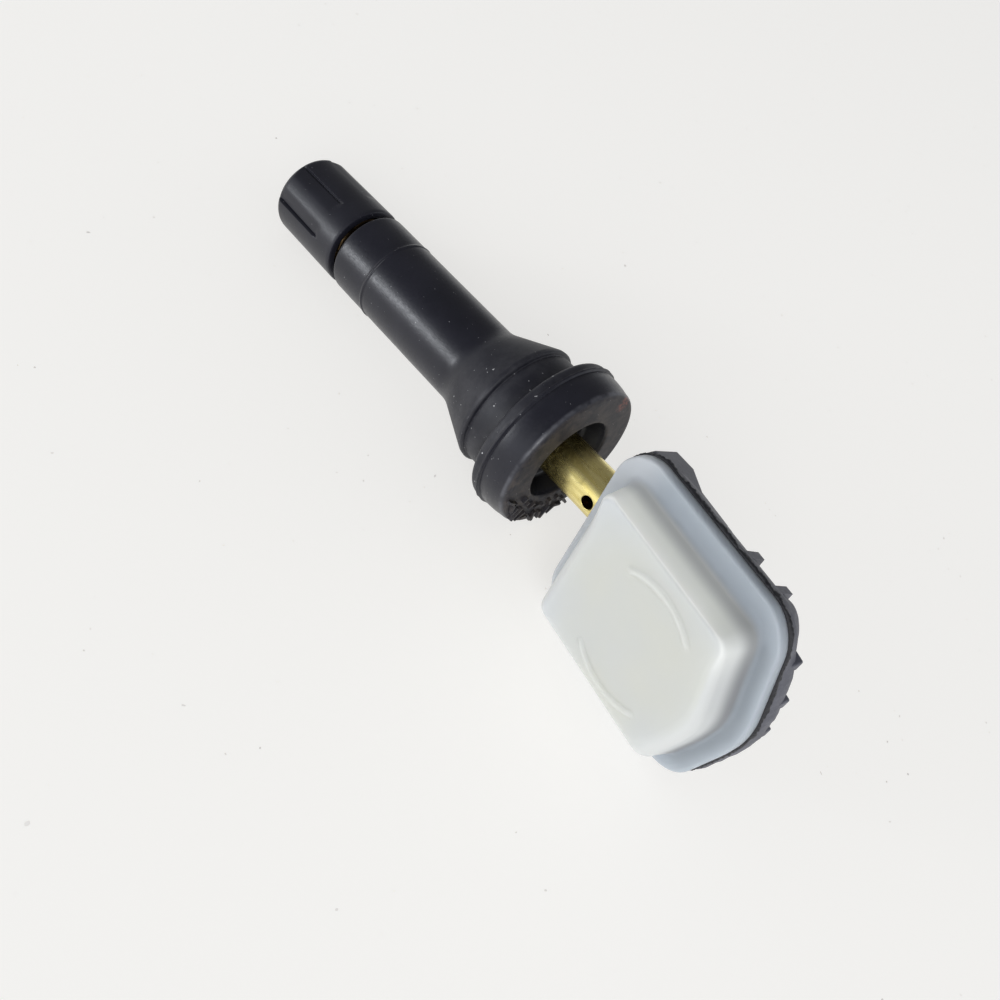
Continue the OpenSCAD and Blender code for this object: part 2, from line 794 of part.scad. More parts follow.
module antenna_loop() {
    color([0.8, 0.55, 0.3]) on_body() translate([0, 0, board_top]) linear_extrude(0.1) intersection() {
        difference() {
            home(board_inset + 0.3, board_corner_r - 0.2, board_tip_r - 0.2);
            home(board_inset + 0.3 + loop_w, board_corner_r - 0.6, board_tip_r - 1);
        }
        translate([board_front + 0.4, -body_half]) square([big, body_w]);
    }
}

valve_cap();
cap_seal();
valve_rubber();
valve_stem();
core_head();
core_gasket();
core_barrel();
core_spring();
core_pin();
core_cup();
core_cup_seal();
fixing_screw();
housing();
joint_bead();
cover();
circuit_board();
coin_cell();
cell_tab_positive();
cell_tab_negative();
pressure_sensor();
port_gasket();
controller_chip();
coil_core();
coil_winding();
crystal();
capacitors();
resistors();
antenna_loop();
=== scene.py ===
import bpy
import bmesh
import math
import numpy as np
from mathutils import Matrix, Vector, noise


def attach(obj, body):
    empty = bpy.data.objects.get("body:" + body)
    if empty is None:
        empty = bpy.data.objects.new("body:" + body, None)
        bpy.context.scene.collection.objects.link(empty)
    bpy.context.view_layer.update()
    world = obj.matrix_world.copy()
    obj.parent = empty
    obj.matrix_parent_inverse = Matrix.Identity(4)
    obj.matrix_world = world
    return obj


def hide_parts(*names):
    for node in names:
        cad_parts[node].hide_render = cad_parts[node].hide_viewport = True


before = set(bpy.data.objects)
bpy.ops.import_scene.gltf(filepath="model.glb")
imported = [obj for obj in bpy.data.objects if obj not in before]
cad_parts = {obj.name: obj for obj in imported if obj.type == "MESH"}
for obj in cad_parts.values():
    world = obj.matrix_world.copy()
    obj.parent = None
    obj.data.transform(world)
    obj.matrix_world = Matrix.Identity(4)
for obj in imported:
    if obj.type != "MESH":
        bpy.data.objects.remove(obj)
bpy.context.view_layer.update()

# Lengths are in mm. The valve lies along X: the rim's face is at x = 0 and the cap at the far end of -X.
# The sensor body has a frame of its own, with X away from the valve and Z out of the white cover.
MM = 0.001
# a radius that stands for a point on the axis
AXIS_R = 0.0001

# sizes of the rubber valve, as in the CAD source
neck_r = 5.18
neck_len = 31.5
parting_from_end = 5.65
lip_r = 7.9
flare_len = 7.2
groove_r = 7.45
groove_w = 3.65
flange_r = 9.5
flange_t = 5.0
flash_h = 0.25
flash_x = 1.3
recess_r = 5.3
recess_depth = 2.6

# stem and cap
thread_r = 3.85
thread_len = 10.0
thread_pitch = 0.794
shank_r = 3.6
shank_end = -13.0
tube_r = 2.72
tube_start = -9.5
tube_end = 18.0
air_hole_x = 10.3
air_hole_r = 0.75
air_hole_angle = -3.0
passage_r = 1.2
cap_len = 11.4
cap_r = 5.15
cap_gap = 1.0

# sensor body
body_x = 11.9
body_z = 4.7
body_tilt = 10.0
body_w = 24.0
side_len = 23.1
nose_len = 2.8
corner_r = 4.4
nose_r = 10.4
cover_flange_t = 1.2
cover_flange_w = 2.45
cover_h = 4.4
cover_draft = 0.4
arc_rib_r = 7.05
arc_rib_x = 14.0
arc_rib_span = 84.0
arc_rib_h = 0.2
joint_t = 0.3
rib_pitch = 4.0
rib_t = 0.9
lie_angle = 88.0

rubber_end_x = -neck_len
lip_x = -groove_w
flare_start_x = lip_x - flare_len
parting_x = rubber_end_x + parting_from_end
cap_rim_x = rubber_end_x - cap_gap
cap_top_x = cap_rim_x - cap_len
stem_tip_x = rubber_end_x - thread_len
recess_x = flange_t - recess_depth
housing_top = -cover_flange_t - joint_t

lying = Matrix.Rotation(math.radians(lie_angle), 4, "X")
body_frame = (lying @ Matrix.Translation((body_x, 0, body_z))
              @ Matrix.Rotation(math.radians(-body_tilt), 4, "Y"))


# mesh helpers
def add_mesh(name, verts, faces, matrix, body="root", smooth_angle=35, material=None):
    """A mesh piece from points in mm in its own frame, put in place in metres, riding a body."""
    mesh = bpy.data.meshes.new(name)
    mesh.from_pydata([tuple(v) for v in verts], [], faces)
    mesh.transform(Matrix.Scale(MM, 4) @ matrix)
    bm = bmesh.new()
    bm.from_mesh(mesh)
    bmesh.ops.recalc_face_normals(bm, faces=bm.faces)
    bm.to_mesh(mesh)
    bm.free()
    mesh.update()
    obj = bpy.data.objects.new(name, mesh)
    bpy.context.scene.collection.objects.link(obj)
    for poly in mesh.polygons:
        poly.use_smooth = True
    mesh.set_sharp_from_angle(angle=math.radians(smooth_angle))
    if material is not None:
        mesh.materials.append(material)
    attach(obj, body)
    return obj


def ring_faces(rings, count):
    """Quads between rings of count points each, one ring after another."""
    faces = []
    for k in range(rings - 1):
        a = k * count
        b = a + count
        for i in range(count):
            j = (i + 1) % count
            faces.append((a + i, a + j, b + j, b + i))
    return faces


def hoop(rings):
    """Points and faces of rings that make a closed hoop, the last ring joined to the first."""
    count = len(rings[0])
    last = (len(rings) - 1) * count
    verts = [p for ring in rings for p in ring]
    faces = ring_faces(len(rings), count)
    faces += [(last + i, last + (i + 1) % count, (i + 1) % count, i) for i in range(count)]
    return verts, faces


def revolve(points, count, radius_at=None):
    """Turns a profile of (radius, x) about the valve axis. radius_at(x, radius, angle) may move a point."""
    angles = np.linspace(0, 2 * np.pi, count, endpoint=False)
    verts = []
    for r, x in points:
        for a in angles:
            rr = r if radius_at is None else radius_at(x, r, a)
            verts.append((x, rr * math.cos(a), rr * math.sin(a)))
    return verts, ring_faces(len(points), count)


def tapered_bar(x_span, y_span, z_span, slope, top_slope):
    """A bar that narrows along X, by slope on three sides and by top_slope on the side towards +Z."""
    (x0, x1), (y0, y1), (z0, z1) = x_span, y_span, z_span
    verts = [(x0, y0, z0), (x0, y1, z0), (x0, y1, z1), (x0, y0, z1)]
    y0, y1, z0, z1 = y0 + slope, y1 - slope, z0 + slope, z1 - top_slope
    verts += [(x1, y0, z0), (x1, y1, z0), (x1, y1, z1), (x1, y0, z1)]
    return verts, [(0, 1, 2, 3), (4, 5, 6, 7), (0, 1, 5, 4), (1, 2, 6, 5), (2, 3, 7, 6), (3, 0, 4, 7)]


def together(parts):
    """Several lists of points and faces as one."""
    verts, faces = [], []
    for part_verts, part_faces in parts:
        faces += [tuple(len(verts) + k for k in face) for face in part_faces]
        verts += part_verts
    return verts, faces


def soften(obj, width, segments, angle):
    """Rounds the edges of a piece that are sharper than an angle."""
    bevel = obj.modifiers.new("edges", "BEVEL")
    bevel.width = width * MM
    bevel.segments = segments
    bevel.limit_method = "ANGLE"
    bevel.angle_limit = math.radians(angle)


def arc(cx, cy, r, a0, a1, n):
    """Points of an arc in n steps, from angle a0 to a1 in degrees."""
    return [(cx + r * math.cos(math.radians(a0 + (a1 - a0) * i / n)),
             cy + r * math.sin(math.radians(a0 + (a1 - a0) * i / n))) for i in range(n + 1)]


def densify(points, step):
    """Adds points along a profile so that no stretch is longer than step."""
    out = [points[0]]
    for p, q in zip(points, points[1:]):
        n = max(1, int(math.ceil(math.dist(p, q) / step)))
        out += [(p[0] + (q[0] - p[0]) * i / n, p[1] + (q[1] - p[1]) * i / n) for i in range(1, n + 1)]
    return out


def smooth(x, a, b):
    """0 below a, 1 above b, and a soft step between them."""
    t = min(1.0, max(0.0, (x - a) / (b - a)))
    return t * t * (3 - 2 * t)


def mean_around(values, width):
    """Each value of a closed row as the mean of the width values about it."""
    half = width // 2
    padded = np.concatenate([values[-half:], values, values[:half]])
    return np.convolve(padded, np.ones(width) / width, "valid")


def ring_noise(angle, scale, layer):
    """Noise that runs round a ring and comes back to where it began."""
    return noise.noise(Vector((math.cos(angle) * scale, math.sin(angle) * scale, layer)))


# plan outline of the sensor body
body_half = body_w / 2
slant = math.hypot(body_half, nose_len)
# the moulded nose isn't quite square to the body: its -Y end stands a little further out
nose_lean = 0.085
lean_centre_y = 4.0
lean_back, lean_out = 0.55, 0.65
lean_span = (16.5, 23.0)
corner_steps = 24


def plan(inset, r, tip_r, count):
    """The sensor body's outline drawn in by an inset, as count points spread evenly."""
    half = body_half - inset
    side_end = side_len - inset * (slant - nose_len) / body_half
    nose = nose_len * half / body_half
    far_x = side_end - r * (slant - nose_len) / body_half
    tip_x = side_end + nose - tip_r * slant / body_half
    turn = math.degrees(math.atan2(nose_len, body_half))
    corners = [
        (inset + r, r - half, r, 180, 270),
        (far_x, r - half, r, 270, 360 - turn),
        (tip_x, 0.0, tip_r, -turn, turn),
        (far_x, half - r, r, turn, 90),
        (inset + r, half - r, r, 90, 180),
    ]
    pts = []
    for corner in corners:
        pts += arc(*corner, corner_steps)
    pts = np.array(pts + [pts[0]])
    lengths = np.hypot(*np.diff(pts, axis=0).T)
    reached = np.concatenate([[0], np.cumsum(lengths)])
    wanted = np.linspace(0, reached[-1], count, endpoint=False)
    x, y = np.interp(wanted, reached, pts[:, 0]), np.interp(wanted, reached, pts[:, 1])
    share = np.array([smooth(v, *lean_span) for v in x])
    return np.c_[x + share * np.clip(-nose_lean * (y - lean_centre_y), -lean_back, lean_out), y]


def plan_table(insets, least_r, least_tip_r, count):
    """The plan at several insets, so that every point can be drawn in by its own distance."""
    return np.array([plan(inset, max(least_r, corner_r - inset), max(least_tip_r, nose_r - inset), count)
                     for inset in insets])


def drawn_in(table, insets, i, inset):
    """Point i of a plan table at an inset of its own."""
    return np.interp(inset, insets, table[:, i, 0]), np.interp(inset, insets, table[:, i, 1])


def outward(outline):
    """The direction out of a closed outline at each of its points, as all its x and all its y."""
    tangent = np.roll(outline, -1, axis=0) - np.roll(outline, 1, axis=0)
    tangent /= np.hypot(*tangent.T)[:, None]
    return tangent[:, 1], -tangent[:, 0]


# material helpers
def new_material(name):
    m = bpy.data.materials.new(name)
    m.use_nodes = True
    tree = m.node_tree
    return m, tree, tree.nodes["Principled BSDF"]


def coords(tree):
    """The place on the piece in mm, which stays with the piece when it moves."""
    texture_coords = tree.nodes.new("ShaderNodeTexCoord")
    scale = tree.nodes.new("ShaderNodeVectorMath")
    scale.operation = "SCALE"
    scale.inputs["Scale"].default_value = 1 / MM
    tree.links.new(texture_coords.outputs["Object"], scale.inputs[0])
    return scale.outputs[0]


def noise_tex(tree, place, scale, detail=4, rough=0.55, distort=0.0):
    n = tree.nodes.new("ShaderNodeTexNoise")
    n.inputs["Scale"].default_value = scale
    n.inputs["Detail"].default_value = detail
    n.inputs["Roughness"].default_value = rough
    n.inputs["Distortion"].default_value = distort
    tree.links.new(place, n.inputs["Vector"])
    return n.outputs["Fac"]


def ramp(tree, value, low, high):
    """A colour that runs from one (value, colour) to the other."""
    r = tree.nodes.new("ShaderNodeValToRGB")
    for element, (position, color) in zip(r.color_ramp.elements, (low, high)):
        element.position = position
        element.color = color
    tree.links.new(value, r.inputs["Fac"])
    return r.outputs["Color"]


def grey(level):
    return (level, level, level, 1)


def bump(tree, shader, height, strength, distance):
    b = tree.nodes.new("ShaderNodeBump")
    b.inputs["Strength"].default_value = strength
    b.inputs["Distance"].default_value = distance * MM
    tree.links.new(height, b.inputs["Height"])
    tree.links.new(b.outputs["Normal"], shader.inputs["Normal"])


def mix_color(tree, share, a, b):
    """Colour a where the share is 0 and b where it is 1; each is a colour or a socket."""
    m = tree.nodes.new("ShaderNodeMix")
    m.data_type = "RGBA"
    tree.links.new(share, m.inputs["Factor"])
    for socket, color in ((6, a), (7, b)):
        if isinstance(color, tuple):
            m.inputs[socket].default_value = color
        else:
            tree.links.new(color, m.inputs[socket])
    return m.outputs[2]


def mask(tree, value, low, high, flip=False):
    """1 where a value lies above high, 0 below low; flip turns it round."""
    n = tree.nodes.new("ShaderNodeMapRange")
    n.interpolation_type = "SMOOTHSTEP"
    n.inputs["From Min"].default_value = low
    n.inputs["From Max"].default_value = high
    n.inputs["To Min"].default_value = 1.0 if flip else 0.0
    n.inputs["To Max"].default_value = 0.0 if flip else 1.0
    tree.links.new(value, n.inputs["Value"])
    return n.outputs["Result"]


def math_node(tree, operation, a, b):
    n = tree.nodes.new("ShaderNodeMath")
    n.operation = operation
    for socket, value in ((0, a), (1, b)):
        if isinstance(value, (int, float)):
            n.inputs[socket].default_value = value
        else:
            tree.links.new(value, n.inputs[socket])
    return n.outputs[0]


def times(tree, first, *others):
    """The product of several values, each a socket or a number."""
    out = first
    for value in others:
        out = math_node(tree, "MULTIPLY", out, value)
    return out


def from_axis(tree, y, z):
    """Distance from the valve's axis."""
    squares = math_node(tree, "ADD", times(tree, y, y), times(tree, z, z))
    return math_node(tree, "POWER", squares, 0.5)


def split(tree, place):
    n = tree.nodes.new("ShaderNodeSeparateXYZ")
    tree.links.new(place, n.inputs[0])
    return n.outputs[0], n.outputs[1], n.outputs[2]


def spot(tree, place, centre, radius):
    """1 at a place on the piece, falling to 0 at a radius from it."""
    d = tree.nodes.new("ShaderNodeVectorMath")
    d.operation = "DISTANCE"
    d.inputs[1].default_value = centre
    tree.links.new(place, d.inputs[0])
    return mask(tree, d.outputs["Value"], radius * 0.35, radius, flip=True)


def along_body(tree, place, axis):
    """How far a place lies along an axis of the sensor body, and how far the body's origin does."""
    direction = body_frame.to_3x3() @ Vector(axis)
    n = tree.nodes.new("ShaderNodeVectorMath")
    n.operation = "DOT_PRODUCT"
    n.inputs[1].default_value = direction
    tree.links.new(place, n.inputs[0])
    return n.outputs["Value"], direction.dot(body_frame.translation)


# materials
def rubber_material():
    m, tree, shader = new_material("neck_rubber")
    place = coords(tree)
    x, y, z = split(tree, place)
    off_axis = from_axis(tree, y, z)
    broad = noise_tex(tree, place, 0.25, 3)
    fine = noise_tex(tree, place, 3.0, 5, 0.65)
    color = ramp(tree, broad, (0.35, (0.0075, 0.0078, 0.0135, 1)), (0.7, (0.012, 0.0122, 0.0195, 1)))
    # dusty, slightly brown face around the tube
    face = mask(tree, x, flange_t - 0.3, flange_t - 0.04)
    dust = times(tree, face, mask(tree, noise_tex(tree, place, 0.7, 5, 0.7, 0.3), 0.3, 0.75))
    color = mix_color(tree, dust, color, (0.058, 0.048, 0.044, 1))
    # dry bloom on the flare and the lip
    flare = times(tree, mask(tree, x, flare_start_x, flare_start_x + 4), mask(tree, x, 0.5, 2.5, flip=True))
    bloom = times(tree, flare, mask(tree, noise_tex(tree, place, 0.5, 4, 0.6), 0.35, 0.8), 0.55)
    color = mix_color(tree, bloom, color, (0.042, 0.042, 0.048, 1))
    # small reddish stain at the edge of the face
    stain_patches = mask(tree, noise_tex(tree, place, 2.5, 4, 0.7), 0.4, 0.62)
    stain = times(tree, spot(tree, place, (4.7, 4.9, 6.6), 1.3), stain_patches)
    color = mix_color(tree, stain, color, (0.3, 0.1, 0.07, 1))
    # white specks: larger ones on the lower side of the flare, tiny ones everywhere
    specks = mask(tree, noise_tex(tree, place, 2.3, 1, 0.4), 0.755, 0.78)
    near = times(tree, mask(tree, x, -10.5, -8.5), mask(tree, x, 1.0, 2.5, flip=True))
    specks = times(tree, specks, near, mask(tree, y, -2.5, -0.5, flip=True))
    tiny = mask(tree, noise_tex(tree, place, 5.5, 1, 0.4), 0.80, 0.815)
    color = mix_color(tree, math_node(tree, "MAXIMUM", specks, tiny), color, (0.42, 0.42, 0.43, 1))
    # painted highlight: the flange's edge is made lighter, as where it catches the light
    painted_edge_highlight = times(tree, mask(tree, x, flange_t - 0.75, flange_t - 0.45),
                   mask(tree, x, flange_t - 0.4, flange_t - 0.1, flip=True),
                   mask(tree, off_axis, flange_r - 1.4, flange_r - 1.0),
                   mask(tree, noise_tex(tree, place, 0.4, 3), 0.35, 0.6))
    color = mix_color(tree, painted_edge_highlight, color, (0.075, 0.076, 0.088, 1))
    # painted shade: the recess around the tube is darkened
    painted_recess_shade = times(tree, mask(tree, off_axis, recess_r - 0.3, recess_r - 0.02, flip=True),
                 mask(tree, x, 1.0, 1.5))
    color = mix_color(tree, painted_recess_shade, color, (0.002, 0.002, 0.003, 1))
    tree.links.new(color, shader.inputs["Base Color"])
    rough = ramp(tree, fine, (0.3, grey(0.27)), (0.75, grey(0.42)))
    dry = math_node(tree, "MAXIMUM", face, times(tree, flare, 0.6))
    tree.links.new(mix_color(tree, dry, rough, grey(0.62)), shader.inputs["Roughness"])
    shader.inputs["Specular IOR Level"].default_value = 0.42
    bump(tree, shader, fine, 0.3, 0.03)
    return m


def cap_plastic():
    m, tree, shader = new_material("cap_plastic")
    place = coords(tree)
    broad = noise_tex(tree, place, 0.3, 3)
    fine = noise_tex(tree, place, 5.0, 5, 0.6)
    color = ramp(tree, broad, (0.35, (0.0095, 0.0098, 0.0155, 1)), (0.7, (0.014, 0.0142, 0.0215, 1)))
    tiny = mask(tree, noise_tex(tree, place, 6.0, 1, 0.4), 0.80, 0.815)
    tree.links.new(mix_color(tree, tiny, color, (0.35, 0.35, 0.36, 1)), shader.inputs["Base Color"])
    tree.links.new(ramp(tree, fine, (0.3, grey(0.34)), (0.75, grey(0.44))), shader.inputs["Roughness"])
    shader.inputs["Specular IOR Level"].default_value = 0.42
    bump(tree, shader, fine, 0.2, 0.02)
    return m


def housing_plastic():
    m, tree, shader = new_material("housing_plastic")
    place = coords(tree)
    broad = noise_tex(tree, place, 0.35, 4)
    fine = noise_tex(tree, place, 3.2, 6, 0.7)
    color = ramp(tree, broad, (0.3, (0.06, 0.062, 0.08, 1)), (0.7, (0.10, 0.102, 0.125, 1)))
    dust = ramp(tree, fine, (0.5, grey(0)), (0.8, grey(0.5)))
    color = mix_color(tree, dust, color, (0.17, 0.17, 0.19, 1))
    pits = mask(tree, noise_tex(tree, place, 0.9, 3, 0.6), 0.6, 0.75)
    color = mix_color(tree, pits, color, (0.045, 0.045, 0.058, 1))
    tree.links.new(color, shader.inputs["Base Color"])
    shader.inputs["Roughness"].default_value = 0.55
    bump(tree, shader, fine, 0.5, 0.06)
    return m


def adhesive_material():
    m, tree, shader = new_material("joint_adhesive")
    fine = noise_tex(tree, coords(tree), 2.2, 6, 0.7)
    color = ramp(tree, fine, (0.35, (0.003, 0.003, 0.005, 1)), (0.75, (0.014, 0.014, 0.019, 1)))
    tree.links.new(color, shader.inputs["Base Color"])
    shader.inputs["Roughness"].default_value = 0.5
    bump(tree, shader, fine, 0.8, 0.15)
    return m


def cover_plastic():
    """Milky plastic that lets light through: cold on the flange, with painted light making the long wall
    under its ridge palest, and painted shade at the wall's foot.
    """
    m, tree, shader = new_material("cover_plastic")
    place = coords(tree)
    along, front = along_body(tree, place, (1, 0, 0))
    across, centre_line = along_body(tree, place, (0, 1, 0))
    height, flange_top = along_body(tree, place, (0, 0, 1))
    broad = noise_tex(tree, place, 0.09, 2)
    fine = noise_tex(tree, place, 6.0, 4, 0.6)
    face = ramp(tree, broad, (0.38, (0.545, 0.555, 0.535, 1)), (0.62, (0.56, 0.565, 0.52, 1)))
    middle = spot(tree, place, tuple(body_frame @ Vector((arc_rib_x, 0, cover_h))), 17.0)
    face = mix_color(tree, middle, (0.55, 0.575, 0.60, 1), face)
    at_front = mask(tree, along, front + 2.0, front + 6.5, flip=True)
    # painted light: the long wall on the +Y side, short of the nose, is made paler at its top and at its
    # foot
    painted_light_side = times(tree, mask(tree, across, centre_line + 4.0, centre_line + 8.5),
                    mask(tree, along, front + 16.0, front + 24.5, flip=True))
    flange = mix_color(tree, at_front, (0.34, 0.375, 0.41, 1), (0.47, 0.495, 0.52, 1))
    # painted shade: the wall is darkened at its foot, where it meets the flange
    wall_top = mix_color(tree, painted_light_side, (0.57, 0.58, 0.57, 1), (0.88, 0.89, 0.84, 1))
    shaded_wall_foot = mix_color(tree, painted_light_side, (0.28, 0.285, 0.29, 1), (0.54, 0.545, 0.525, 1))
    shaded_wall_foot = mix_color(tree, at_front, shaded_wall_foot, (0.5, 0.515, 0.515, 1))
    ridge = flange_top + cover_h
    raised = mix_color(tree, mask(tree, height, ridge - 0.26, ridge - 0.04, flip=True), face, wall_top)
    # the painted shade fades going up the wall, from the foot's colour to the wall's own
    up_the_wall = mask(tree, height, flange_top + 0.9, flange_top + 0.62 * cover_h)
    raised = mix_color(tree, up_the_wall, shaded_wall_foot, raised)
    above_flange = mask(tree, height, flange_top + 0.05, flange_top + 0.7)
    tree.links.new(mix_color(tree, above_flange, flange, raised), shader.inputs["Base Color"])
    shader.inputs["Subsurface Weight"].default_value = 0.75
    shader.inputs["Subsurface Radius"].default_value = (1.0, 1.0, 0.95)
    shader.inputs["Subsurface Scale"].default_value = 3.2 * MM
    tree.links.new(ramp(tree, fine, (0.3, grey(0.42)), (0.75, grey(0.5))), shader.inputs["Roughness"])
    shader.inputs["Specular IOR Level"].default_value = 0.35
    bump(tree, shader, fine, 0.06, 0.02)
    return m


def brass_material():
    m, tree, shader = new_material("stem_brass")
    place = coords(tree)
    x, y, z = split(tree, place)
    # streaks drawn out along the tube
    stretch = tree.nodes.new("ShaderNodeVectorMath")
    stretch.operation = "MULTIPLY"
    stretch.inputs[1].default_value = (0.16, 1.5, 1.5)
    tree.links.new(place, stretch.inputs[0])
    streak = noise_tex(tree, stretch.outputs[0], 1.3, 3, 0.55)
    color = ramp(tree, streak, (0.3, (0.72, 0.59, 0.2, 1)), (0.72, (0.95, 0.83, 0.37, 1)))
    # tarnish: patches everywhere, and nearly brown where the tube comes out of the rubber
    mottle = noise_tex(tree, place, 0.8, 6, 0.72, 0.5)
    patches = times(tree, mask(tree, mottle, 0.52, 0.7), 0.45)
    root = times(tree, mask(tree, x, 3.5, 8.8, flip=True), mask(tree, mottle, 0.25, 0.62))
    color = mix_color(tree, math_node(tree, "MAXIMUM", patches, root), color, (0.075, 0.05, 0.014, 1))
    # painted shade: the inside of the tube, at the passage and the air hole, is darkened
    off_axis = from_axis(tree, y, z)
    inside = times(tree, mask(tree, off_axis, tube_r - 0.14, tube_r - 0.05, flip=True),
                   mask(tree, x, 7.0, 7.5))
    color = mix_color(tree, inside, color, (0.13, 0.06, 0.028, 1))
    # painted shade: the thread in the gap between the cap and the rubber is darkened, from x = -20 on
    # towards the cap
    color = mix_color(tree, mask(tree, x, -26.0, -20.0, flip=True), color, (0.05, 0.032, 0.014, 1))
    tree.links.new(color, shader.inputs["Base Color"])
    shader.inputs["Metallic"].default_value = 0.92
    rough = ramp(tree, streak, (0.3, grey(0.34)), (0.7, grey(0.17)))
    tree.links.new(mix_color(tree, patches, rough, grey(0.55)), shader.inputs["Roughness"])
    bump(tree, shader, streak, 0.06, 0.02)
    return m


def simple_material(name, color, metallic, rough):
    """A plain finish with a little variation, for the inner pieces."""
    grain, vary = 3.0, 0.15
    m, tree, shader = new_material(name)
    n = noise_tex(tree, coords(tree), grain, 4)
    dark = tuple(c * (1 - vary) for c in color) + (1,)
    light = tuple(min(1, c * (1 + vary)) for c in color) + (1,)
    tree.links.new(ramp(tree, n, (0.3, dark), (0.7, light)), shader.inputs["Base Color"])
    shader.inputs["Metallic"].default_value = metallic
    shader.inputs["Roughness"].default_value = rough
    bump(tree, shader, n, 0.1, 0.02)
    return m


RUBBER, CAP, HOUSING = rubber_material(), cap_plastic(), housing_plastic()
ADHESIVE, COVER, BRASS = adhesive_material(), cover_plastic(), brass_material()
CORE_BRASS = simple_material("core_brass", (0.72, 0.56, 0.26), 1.0, 0.28)
SCREW = simple_material("screw_steel", (0.5, 0.5, 0.52), 1.0, 0.35)
SPRING = simple_material("spring_wire", (0.55, 0.55, 0.57), 1.0, 0.3)
BOARD = simple_material("board_green", (0.03, 0.16, 0.08), 0.0, 0.4)
CELL = simple_material("cell_steel", (0.62, 0.63, 0.64), 1.0, 0.3)
TAB = simple_material("tab_nickel", (0.6, 0.59, 0.56), 1.0, 0.35)
CHIP = simple_material("chip_black", (0.03, 0.03, 0.03), 0.0, 0.5)
SENSOR = simple_material("sensor_ceramic", (0.66, 0.65, 0.62), 0.0, 0.5)
SILICONE = simple_material("gasket_clear", (0.6, 0.6, 0.56), 0.0, 0.5)
FERRITE = simple_material("ferrite", (0.06, 0.06, 0.06), 0.0, 0.45)
COPPER = simple_material("winding_copper", (0.6, 0.3, 0.14), 1.0, 0.35)
CAN = simple_material("crystal_can", (0.62, 0.62, 0.6), 1.0, 0.3)
CAPACITOR = simple_material("capacitor_ceramic", (0.45, 0.33, 0.2), 0.0, 0.5)
SEAL = simple_material("soft_seal", (0.03, 0.03, 0.03), 0.0, 0.6)
RED = simple_material("gasket_red", (0.42, 0.06, 0.05), 0.0, 0.5)

node_material = {
    "valve_cap": CAP, "cap_seal": SEAL, "valve_rubber": RUBBER, "valve_stem": BRASS, "core_head": CORE_BRASS,
    "core_gasket": RED, "core_barrel": CORE_BRASS, "core_spring": SPRING, "core_pin": CORE_BRASS,
    "core_cup": CORE_BRASS, "core_cup_seal": SEAL, "fixing_screw": SCREW, "housing": HOUSING,
    "joint_bead": ADHESIVE, "cover": COVER, "circuit_board": BOARD, "coin_cell": CELL,
    "cell_tab_positive": TAB, "cell_tab_negative": TAB, "pressure_sensor": SENSOR, "port_gasket": SILICONE,
    "controller_chip": CHIP, "coil_core": FERRITE, "coil_winding": COPPER, "crystal": CAN,
    "capacitors": CAPACITOR, "resistors": CHIP, "antenna_loop": COPPER,
}
for node_name, material in node_material.items():
    node_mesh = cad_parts[node_name].data
    node_mesh.materials.clear()
    node_mesh.materials.append(material)


# cover
def rib_height(x, y):
    """Height of the two arc ribs above the cover's top at a place."""
    half_width, end_fade, lift = 0.42, 9, 1.3
    r = math.hypot(x - arc_rib_x, y)
    from_middle = abs(math.degrees(math.atan2(abs(y), x - arc_rib_x)) - 90)
    across = max(0.0, 1 - ((r - arc_rib_r) / half_width) ** 2)
    along = smooth(arc_rib_span / 2 - from_middle, 0, end_fade)
    return lift * arc_rib_h * across * along


# the raised part lies nearer to the nose than the inset gives, so that the flange is narrower there
nose_narrowing = 0.38
narrowing_span = (16, 21.5)


def nose_shift(x):
    return nose_narrowing * smooth(x, *narrowing_span)


